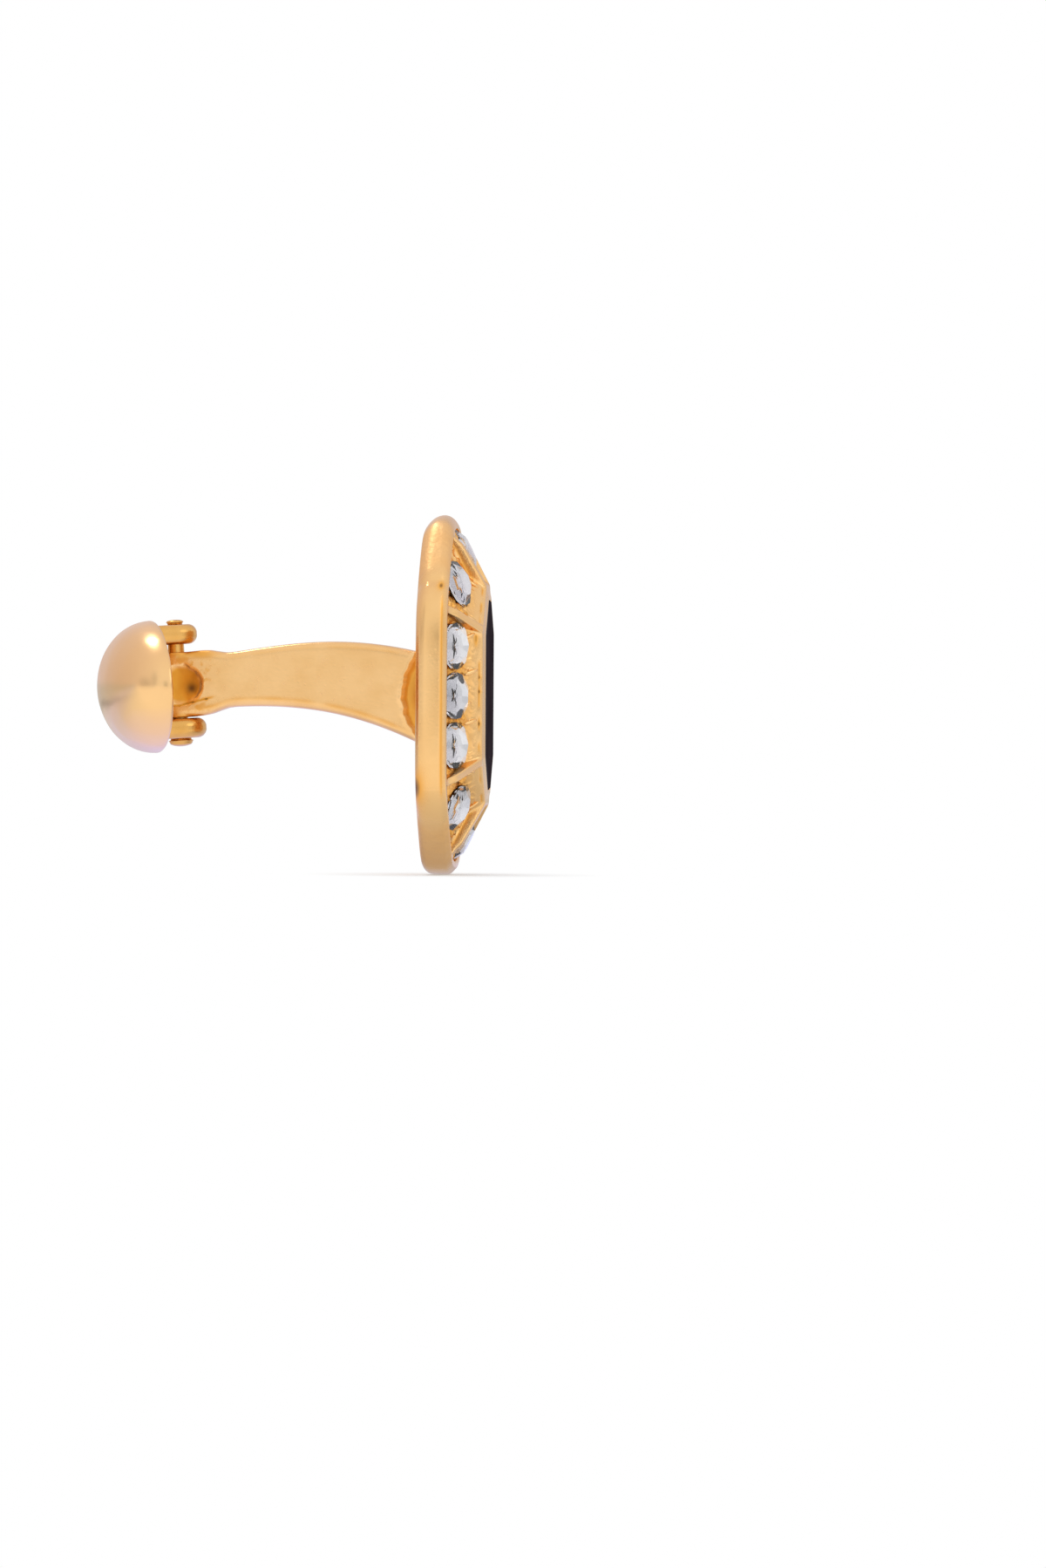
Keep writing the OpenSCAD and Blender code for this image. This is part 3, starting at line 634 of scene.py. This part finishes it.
ridge_mesh = bpy.data.meshes.new("ridge_blank")
ridge_points, ridge_faces = [], []
for k in range(ridge_rings):
    t = k / (ridge_rings - 1)
    half = ridge_half * (0.5 + 0.5 * math.sin(math.pi * min(1, 0.2 + 0.8 * t)))
    middle = Vector((
        -t * ridge_length, ridge_bend * math.sin(1.6 * t * math.pi),
        ridge_lift - ridge_droop * (2 * t - 1) ** 4))
    for j in range(ridge_sides):
        angle = 2 * math.pi * j / ridge_sides
        outward = Vector((0, half * math.cos(angle), ridge_flat * half * math.sin(angle)))
        ridge_points.append((middle + outward) * mm)
for k in range(ridge_rings - 1):
    for j in range(ridge_sides):
        a, b = k * ridge_sides + j, k * ridge_sides + (j + 1) % ridge_sides
        ridge_faces.append((a, b, b + ridge_sides, a + ridge_sides))
ridge_faces.append(tuple(range(ridge_sides - 1, -1, -1)))
ridge_faces.append(tuple(range(len(ridge_points) - ridge_sides, len(ridge_points))))
ridge_mesh.from_pydata(ridge_points, [], ridge_faces)
ridge_mesh.shade_smooth()

ridge_draw = random.Random(4)
ridge_rows = [(side, along, size) for side in range(8) for along, size in (
    ((-3.2, 0.8), (-1.2, 1.0), (0.5, 0.55), (1.55, 0.95), (4.1, 0.8)) if side % 4 == 2
    else ((-1.4, 0.8), (1.3, 0.9)) if side % 2 else ((-1.0, 0.7), (1.0, 0.8)))]
ridge_places = [
    place_on_side(side, channel_foot - 0.02, along, 0, flank_tilt) for side, along, _ in ridge_rows]
ridge_spots = points_with_turns("ridge_spots", ridge_places, {
    "spin": [ridge_draw.uniform(-0.35, 0.35) for _ in ridge_rows],
    "size": [size for _, _, size in ridge_rows]})
ridges = set_parts(
    ridge_spots, mesh_piece("ridge_blank", ridge_mesh), 1.0, casting.data.materials[0], "claw_ridges")
ridges.data.shade_smooth()
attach(ridges, "head")


# The post: a curved gilt strap with its knuckle, its detent pockets and its flared solder foot.
# Cast in one piece, filed and polished by hand: its upper long edges are rounded over, and its lower
# ones have a narrow bevel.
pocket_middle, pocket_radius, pocket_depth = (-14.48, 10.47), 1.2, 0.34
solder_middle, solder_radius, solder_waves, solder_bead, solder_sink = (1.54, 10.0), 3.8, 0.11, 0.04, 0.1
knuckle_end, strap_end, hinge_level = -12.9, -1.6, 10.42
# A spot of painted shade in each detent pocket, a little off its middle: its place, half width and depth.
pocket_shade_middle, pocket_shade_half, pocket_shade = (-13.95, 10.27), 0.3, 0.6
crease_line, crease_shade = ((-14.62, -12.45), (9.3, 9.88)), 1.2
half_thick, bevel_high, bevel_deep, edge_round, slice_width = 1.0, 0.34, 0.16, 0.25, 0.15


def off_middle(points, middle):
    """How far each point lies from a place on the strap's flat sides."""
    return np.hypot(points[:, 0] - middle[0], points[:, 2] - middle[1])


def dished(points, normals):
    """Sinks the round detent pockets, leaves a wavy seam of solder round the foot, and says how deep in
    shade each point lies: in patches about the knuckle, in the pockets, on the crease and in the solder."""
    side = np.sign(points[:, 1])
    far = off_middle(points, pocket_middle)
    far += 0.07 * np.array([noise.noise(Vector(p) * 2.5) if f < 2 else 0 for p, f in zip(points, far)])
    in_pocket = (far < pocket_radius) & (np.abs(points[:, 1]) > 0.5)
    bowl = 1 - pocket_depth * (1 - (far / pocket_radius) ** 2)
    points[:, 1] = np.where(in_pocket, side * bowl, points[:, 1])
    waves = np.array([noise.noise(Vector((0, 0, z * 2.3))) + 0.5 * noise.noise(Vector((4, 0, z * 6)))
                      for z in points[:, 2]])
    in_solder = solder_radius + solder_waves * waves - off_middle(points, solder_middle)
    flat_side = step(np.abs(points[:, 1]), 0.7, 0.85)
    points += normals * (solder_bead * bell(in_solder, 0.09) * flat_side)[:, None]
    valley = step(in_solder, 0.05, 0.45) * (1 - step(in_solder, 0.85, 1.25)) * flat_side
    points[:, 1] -= side * solder_sink * valley
    patchy = np.array([noise.noise(Vector(q) * 2.4) + 0.5 * noise.noise(Vector(q) * 6) for q in points])
    shade = 0.75 * step(-points[:, 0], -knuckle_end - 0.9, -knuckle_end + 0.9) * step(patchy, -0.05, 0.45)
    shade = np.maximum(shade, 1 - step(far, 0.85, 1.15))
    knuckle_edge = step(np.abs(points[:, 2] - hinge_level), 1.35, 1.75) * step(-points[:, 0], 12.0, 13.4)
    shade = np.maximum(shade, 0.8 * knuckle_edge)
    shade += pocket_shade * bell(off_middle(points, pocket_shade_middle), pocket_shade_half)
    crease = points[:, 2] - np.interp(points[:, 0], *crease_line)
    shade += crease_shade * bell(crease + 0.03 * patchy, 0.07) * step(-points[:, 0], 12.45, 13.1)
    return points, np.maximum(shade, 0.9 * step(in_solder, 0.12, 0.26) * flat_side)


def filed_edges(points):
    """Rounds over the strap's upper long edges between its knuckle and its foot, files a bevel on the
    lower ones, and says how much painted shade lies unevenly beside them: a band above the bevel and a
    thin line under the top edge."""
    slices = np.arange(knuckle_end - 1.0, strap_end, slice_width)
    lows, highs = [], []
    for x in slices:
        level = points[np.abs(points[:, 0] - x) < slice_width, 2]
        lows.append(level.min())
        highs.append(level.max())
    under = points[:, 2] - np.interp(points[:, 0], slices, lows)
    over = np.interp(points[:, 0], slices, highs) - points[:, 2]
    within = step(points[:, 0], knuckle_end - 1.4, knuckle_end - 0.4)
    within = within * (1 - step(points[:, 0], strap_end - 1.2, strap_end))
    side = np.sign(points[:, 1])
    face_in = np.stack([0 * side, -side, 0 * side], axis=1)
    upright = np.array([[0, 0, 1.0]])
    depth = half_thick - np.abs(points[:, 1])
    high, deep = bevel_high * np.maximum(within, 0.01), bevel_deep * np.maximum(within, 0.01)
    cut = np.maximum(1 - under / high - depth / deep, 0) / (1 / high ** 2 + 1 / deep ** 2)
    points = points + upright * (cut / high)[:, None] + face_in * (cut / deep)[:, None]
    uneven_shade = np.array([0.6 + noise.noise(Vector((x * 0.8, 0, 7))) for x in points[:, 0]]) * within
    band_shade = uneven_shade * (0.6 * bell(under - 0.46, 0.12) + 0.3 * bell(over - 0.3, 0.07))
    return round_over(points, over, depth, -upright, face_in, np.maximum(edge_round * within, 1e-3)), band_shade


strap = moulded_copy("post", "curved_post", 0.06, 4)
filed, edge_shade = filed_edges(points_of(strap.data))
put_points(strap.data, filed)
strap_points, strap_shade = dished(points_of(strap.data), points_of(strap.data, "normal"))
put_points(strap.data, strap_points)
tag_points(strap.data, "hollow", np.maximum(strap_shade, edge_shade))
settle(strap, "post")
strap.data.materials.append(gilding(
    "hand_polished_gilt", (0.885, 0.56, 0.255), (0.83, 0.5, 0.205), (0.2, 0.28), 1.6, 0.16, 0.003, 0.004,
    in_hollows=(0.8, 0.36, 0.035)))
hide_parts("post")
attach(strap, "head")


# The swivel bar: an oval shell of gilt sheet, pressed to a smooth dome with a rounded lip.
# The base plate is let into its open side, and the ears are soldered to the plate.
bar_half_length, bar_half_width, dome_height, press_wobble = 6.4, 3.68, 3.2, 0.03
girth, lip_inset, shell_wall, plate_depth, face_gap = 0.2, 0.17, 0.5, 0.5, 1.22
around, dome_rings, lip_rings = 160, 40, 12
hinge, bar_tip, bar_turn = Vector((-14.775, 0, hinge_level)), math.radians(-3.5), math.radians(14)
bar_place = (Matrix.Translation(hinge) @ Matrix.Rotation(bar_tip, 4, "Y")
             @ Matrix.Rotation(bar_turn, 4, "Z") @ Matrix.Translation((-face_gap, 0, 0)))


def shell_rings():
    """Levels of the shell from its inner crown over the lip to its outer crown: the depth of each, its
    share of the oval and how far in from the oval it lies."""
    rings = []
    inner = dome_height - shell_wall - plate_depth
    for k in range(dome_rings - 1, -1, -1):
        a = math.pi / 2 * k / dome_rings
        rings.append((-plate_depth - inner * math.sin(a), math.cos(a), shell_wall))
    rings.append((0, 1, shell_wall))
    for k in range(lip_rings):
        a = math.pi / 2 * k / lip_rings
        rings.append((-girth * (1 - math.cos(a)), 1, lip_inset * (1 - math.sin(a))))
    for k in range(dome_rings):
        a = math.pi / 2 * k / dome_rings
        rings.append((-girth - (dome_height - girth) * math.sin(a), math.cos(a), 0))
    return rings


shell = bmesh.new()
loops = []
angles = [2 * math.pi * k / around for k in range(around)]
for depth, share, inward in shell_rings():
    loops.append([shell.verts.new(bar_place @ Vector((
        depth, (bar_half_length - inward) * share * math.cos(angle),
        (bar_half_width - inward) * share * math.sin(angle))) * mm) for angle in angles])
for first, second in zip(loops, loops[1:]):
    for k in range(around):
        n = (k + 1) % around
        shell.faces.new((first[k], first[n], second[n], second[k]))
inner_crown = shell.verts.new(bar_place @ Vector((shell_wall - dome_height, 0, 0)) * mm)
outer_crown = shell.verts.new(bar_place @ Vector((-dome_height, 0, 0)) * mm)
for k in range(around):
    n = (k + 1) % around
    shell.faces.new((loops[0][n], loops[0][k], inner_crown))
    shell.faces.new((loops[-1][k], loops[-1][n], outer_crown))
bmesh.ops.recalc_face_normals(shell, faces=shell.faces)
shell_mesh = bpy.data.meshes.new("domed_shell")
shell.to_mesh(shell_mesh)
shell.free()
shell_mesh.shade_smooth()
dome = mesh_piece("domed_shell", shell_mesh)
dome_points, dome_normals = points_of(dome.data) / mm, points_of(dome.data, "normal")
wobble = np.array([noise.noise(Vector(p) * 0.5) for p in dome_points])
put_points(dome.data, dome_points - dome_normals * (press_wobble * np.abs(wobble))[:, None])
settle(dome, "bar_shell")
dome.data.materials.append(gilding(
    "polished_gilt", (0.89, 0.565, 0.265), (0.86, 0.53, 0.235), (0.2, 0.26), 3.5, 0.2, 0.002, 0.001))
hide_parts("bar_shell")
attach(dome, "swivel_bar")


# The bar's base plate: gilt sheet let into the shell, with a window for the spring.
# It keeps the CAD shape, with a brushed finish along the bar.
base_finish = gilding(
    "brushed_gilt_base", (0.86, 0.53, 0.22), (0.82, 0.48, 0.18), (0.24, 0.36), 2.0, 0.1, 0.004, 0.003,
    (1, 0.08, 1))
dress("bar_base", base_finish)


# The hinge: two ears soldered to the base plate and the rivet that holds them to the knuckle.
# The ears are sawn from thick sheet and rounded with a file, and the rivet's lower end is hammered over.
hinge_finish = gilding(
    "filed_gilt", (0.78, 0.44, 0.13), (0.72, 0.38, 0.095), (0.2, 0.3), 1.2, 0.12, 0.003, 0.003)
turn, pivot = np.array(bar_place.to_3x3()), np.array(hinge)
ear_round, lower_face, upper_face, head_start, neck_end = 0.5, -2.94, 3.38, 0.1, 0.14


def round_ear(piece, reach_out, low, high):
    """Rounds the nose and the two faces of an ear between two heights along the hinge's axis."""
    local = (points_of(piece.data) - pivot) @ turn
    out = np.stack([np.maximum(local[:, 0], 0), local[:, 1], np.zeros(len(local))], axis=1)
    far = np.linalg.norm(out, axis=1)
    side_in = -out / np.maximum(far, 1e-6)[:, None]
    depth = np.where((local[:, 2] > low - 0.02) & (local[:, 2] < high + 0.02), reach_out - far, 9.0)
    upright = np.array([[0, 0, 1.0]])
    local = round_over(local, depth, high - local[:, 2], side_in, -upright, ear_round)
    local = round_over(local, depth, local[:, 2] - low, side_in, upright, ear_round)
    put_points(piece.data, local @ turn.T + pivot)


def hammer_head(piece, base, reach_out, way):
    """Leaves a rivet's head domed as by the hammer, with a neck where it meets the ear."""
    local = (points_of(piece.data) - pivot) @ turn
    beyond = (local[:, 2] - base) * way
    fall = np.sqrt(np.clip(1 - (np.hypot(local[:, 0], local[:, 1]) / (reach_out * 1.03)) ** 2, 0.04, 1))
    domed = base + way * (head_start + (beyond - head_start) * fall)
    local[:, 2] = np.where(beyond > head_start, domed, local[:, 2])
    neck = 1 - 0.22 * np.sqrt(np.clip(1 - (beyond / neck_end) ** 2, 0, 1))
    local[:, :2] *= np.where((beyond > -0.02) & (beyond < neck_end), neck, 1)[:, None]
    put_points(piece.data, local @ turn.T + pivot)


for node, name, slot, ear in (
        ("ear_upper", "upper_ear", "gilt_hinge", (1.2, 2.28, upper_face)),
        ("ear_lower", "lower_ear", "gilt_hinge", (1.45, lower_face, -1.84)),
        ("hinge_pin", "rivet", "gilt_pin", None)):
    fitting = moulded_copy(node, name, 0.04, 4)
    if ear:
        round_ear(fitting, *ear)
    else:
        hammer_head(fitting, lower_face, 0.75, -1)
        hammer_head(fitting, upper_face, 0.55, 1)
    settle(fitting, node)
    fitting.data.materials.append(hinge_finish)
    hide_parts(node)
    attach(fitting, "swivel_bar")


# The detent spring: a bent leaf of spring steel behind the base plate.
# It keeps the CAD shape, with the blue-grey of hardened and tempered strip.
spring_finish, spring_tree, spring_shader, _ = new_material("spring_strip")
spring_colour = ramp(spring_tree, clouds(spring_tree, stretched(spring_tree, (1, 0.1, 1)), 9000, 4), [
    (0.3, (0.42, 0.43, 0.46)), (0.7, (0.62, 0.63, 0.66))])
spring_tree.links.new(spring_colour, spring_shader.inputs["Base Color"])
spring_shader.inputs["Metallic"].default_value = 1
spring_shader.inputs["Roughness"].default_value = 0.28
dress("detent_spring", spring_finish)


# The photographer's table: a plain pale floor in a soft even room, with a soft lamp above
# and a weaker one at the side.
# The camera looks along the post with a long lens, a few degrees towards the front of the head.
view_azimuth, view_elevation, view_roll = math.radians(4.4), math.radians(0.8), math.radians(0.33)
view_distance, picture_height, sensor = 1.2, 87.1 * mm, 36
aim, lamp_aim = Vector((4.49, 0, 5.07)) * mm, (0, 0, 0.01)
to_camera = Vector((
    math.sin(view_azimuth) * math.cos(view_elevation),
    -math.cos(view_azimuth) * math.cos(view_elevation), math.sin(view_elevation)))
foot, shade_near, shade_far, foot_light = (0.0006, 0, 0), 0.0012, 0.0085, 0.34
# Places on the table: the middle of the bluer painted reflection under the dome, and of a dark painted streak
# far to the left.
under_dome, dark_streak_middle = (-0.014, 0.012, 0), (-0.062, 0.0105, 0)

table_mesh = bpy.data.meshes.new("table")
table_mesh.from_pydata([(-2, -2, 0), (2, -2, 0), (2, 2, 0), (-2, 2, 0)], [], [(0, 1, 2, 3)])
table = mesh_piece("table", table_mesh)
table_finish, table_tree, table_shader, table_out = new_material("pale_table")
table_shader.inputs["Roughness"].default_value = 0.9
table_shader.inputs["Specular IOR Level"].default_value = 0
table_shader.inputs["Base Color"].default_value = (0.86, 0.87, 0.88, 1)


def vector_maths(tree, kind, a, b):
    """The distance between two vectors, or how far one reaches along the other."""
    return shader_node(tree, "ShaderNodeVectorMath", {0: a, 1: b}, operation=kind).outputs["Value"]


# Where a point of the table lies: places in metres.
path = shader_node(table_tree, "ShaderNodeLightPath").outputs
on_table = stretched(table_tree)
from_foot = vector_maths(table_tree, "DISTANCE", on_table, foot)
from_dome = vector_maths(table_tree, "DISTANCE", on_table, under_dome)
from_dark_streak = vector_maths(table_tree, "DISTANCE", stretched(table_tree, (1, 0.15, 1)), dark_streak_middle)
behind = vector_maths(table_tree, "DOT_PRODUCT", on_table, (0, 1, 0))
leftwards = vector_maths(table_tree, "DOT_PRODUCT", on_table, (-0.3, 0.95, 0))
# To the camera the table is white, with a soft shadow round the head's foot.
open_table = shader_node(table_tree, "ShaderNodeEmission", {"Strength": 1.0})
lit_share = maths(table_tree, "MULTIPLY", path["Is Camera Ray"], between(
    table_tree, from_foot, shade_near, shade_far, foot_light, 1.0))
for_sight = shader_mix(table_tree, lit_share, table_shader, open_table)
# In the metal and the stones the table shows as a glow with painted light and shade rather than as lit:
# brighter in front than behind, with painted shade under the head, far to the left and in a dark streak
# there, and bluer behind and under the dome. The stones mirror it without the colour.
front_light = between(table_tree, behind, -0.012, 0.015, 1.15, 0.82)
under_head = between(table_tree, from_foot, 0.003, 0.013, 0.62, 1.0)
far_left = between(table_tree, leftwards, 0.06, 0.16, 1.0, 0.8)
in_dark_streak = between(table_tree, from_dark_streak, 0.003, 0.012, 0.42, 1.0)
painted_reflection_level = maths(table_tree, "MULTIPLY", maths(table_tree, "MULTIPLY", front_light, under_head), maths(
    table_tree, "MULTIPLY", far_left, in_dark_streak))
cooler = ramp(table_tree, between(table_tree, behind, -0.01, 0.02, 0, 1), [
    (0, (1, 0.98, 0.95)), (1, (0.94, 0.97, 1.0))])
blue_behind = maths(
    table_tree, "MINIMUM", between(table_tree, behind, 0.0, 0.02, 1.0, 1.35),
    between(table_tree, behind, 0.03, 0.07, 1.35, 1.0))
bluer = shader_node(table_tree, "ShaderNodeCombineColor", {
    "Red": 1.0, "Green": 1.0, "Blue": maths(
        table_tree, "MAXIMUM", between(table_tree, from_dome, 0.004, 0.024, 1.7, 1.0), blue_behind)})
past_glass = maths(table_tree, "SUBTRACT", 1.0, path["Is Transmission Ray"])
tint = mixed(table_tree, 1.0, cooler, bluer.outputs[0], "MULTIPLY")
tint = mixed(table_tree, past_glass, (1, 1, 1, 1), tint)
painted_reflection = shader_node(table_tree, "ShaderNodeEmission", {"Color": tint, "Strength": painted_reflection_level})
mirrored = maths(table_tree, "MAXIMUM", path["Is Glossy Ray"], path["Is Transmission Ray"])
table_looks = shader_mix(table_tree, mirrored, for_sight, painted_reflection)
table_tree.links.new(table_looks.outputs[0], table_out.inputs["Surface"])
table.data.materials.append(table_finish)

room = bpy.data.worlds.new("soft_room")
bpy.context.scene.world = room
room.use_nodes = True
room_tree = room.node_tree
room_tree.nodes.clear()
toward = shader_node(room_tree, "ShaderNodeTexCoord").outputs["Generated"]


def patch_of_room(direction, inner, outer, level, tall):
    """A soft patch of the room, as a factor on its light, with angles from its middle in degrees. A tall
    one is upright."""
    flatter = shader_node(room_tree, "ShaderNodeVectorMath", {
        0: toward, 1: (1, 1, 1 / tall)}, operation="MULTIPLY")
    evened = shader_node(room_tree, "ShaderNodeVectorMath", {0: flatter.outputs[0]}, operation="NORMALIZE")
    lined_up = vector_maths(room_tree, "DOT_PRODUCT", evened.outputs[0], Vector(direction).normalized())
    begins, full = math.cos(math.radians(outer)), math.cos(math.radians(inner))
    return between(room_tree, lined_up, begins, full, 1.0, level)


# The room is lightest towards the photographer and above. It is darker where the camera stands, to the
# left and the right, on the wall behind, in a tall slit straight out from the stones and in a left corner.
shades = maths(room_tree, "ADD", vector_maths(room_tree, "DOT_PRODUCT", toward, (0.04, -0.11, 0.08)), 0.9)
for direction, inner, outer, level, tall in (
        (to_camera, 0.5, 11, 0.5, 1.6), ((-1, -0.4, 0.0), 2, 18, 0.68, 1),
        ((0.9, -0.45, 0.08), 4, 22, 0.66, 1), ((0.25, 1, 0.35), 6, 26, 0.85, 1),
        ((1, -0.06, 0), 1, 6, 0.72, 4), ((-0.7, -0.7, 0.15), 3, 13, 0.78, 2)):
    shades = maths(room_tree, "MULTIPLY", shades, patch_of_room(direction, inner, outer, level, tall))
rear = vector_maths(room_tree, "DOT_PRODUCT", toward, (-0.6, 0.8, 0))
walls = ramp(room_tree, between(room_tree, rear, -0.5, 1, 0, 1), [(0, (1, 1, 1)), (1, (0.96, 0.88, 0.93))])
soft = mixed(room_tree, 1.0, walls, shades, "MULTIPLY")
room_light = shader_node(room_tree, "ShaderNodeBackground", {"Color": soft, "Strength": 1.0})
backdrop = shader_node(room_tree, "ShaderNodeBackground", {"Color": (1, 1, 1, 1), "Strength": 1.0})
sight = shader_node(room_tree, "ShaderNodeLightPath")
light_or_backdrop = shader_mix(room_tree, sight.outputs["Is Camera Ray"], room_light, backdrop)
shader_node(room_tree, "ShaderNodeOutputWorld", {"Surface": light_or_backdrop.outputs[0]})

for name, stand, width, power in (
        ("top_lamp", (-0.105, 0.12, 0.265), 0.085, 0.145), ("side_lamp", (0.22, -0.16, 0.16), 0.2, 0.06)):
    lamp = bpy.data.lights.new(name, "AREA")
    lamp.shape = "DISK"
    lamp.size = width
    lamp.energy = power
    lamp_object = bpy.data.objects.new(name, lamp)
    bpy.context.scene.collection.objects.link(lamp_object)
    lamp_object.location = stand
    lamp_object.rotation_euler = (Vector(lamp_aim) - Vector(stand)).to_track_quat("-Z", "Y").to_euler()

lens = bpy.data.cameras.new("long_lens")
lens.sensor_width = sensor
lens.lens = sensor * view_distance / picture_height
lens.clip_start, lens.clip_end = 0.01, 20
camera = bpy.data.objects.new("camera", lens)
bpy.context.scene.collection.objects.link(camera)
camera.location = aim + to_camera * view_distance
camera.rotation_euler = (to_camera.to_track_quat("Z", "Y") @ Quaternion((0, 0, 1), view_roll)).to_euler()
bpy.context.scene.camera = camera
bpy.context.scene.view_settings.view_transform = "Standard"
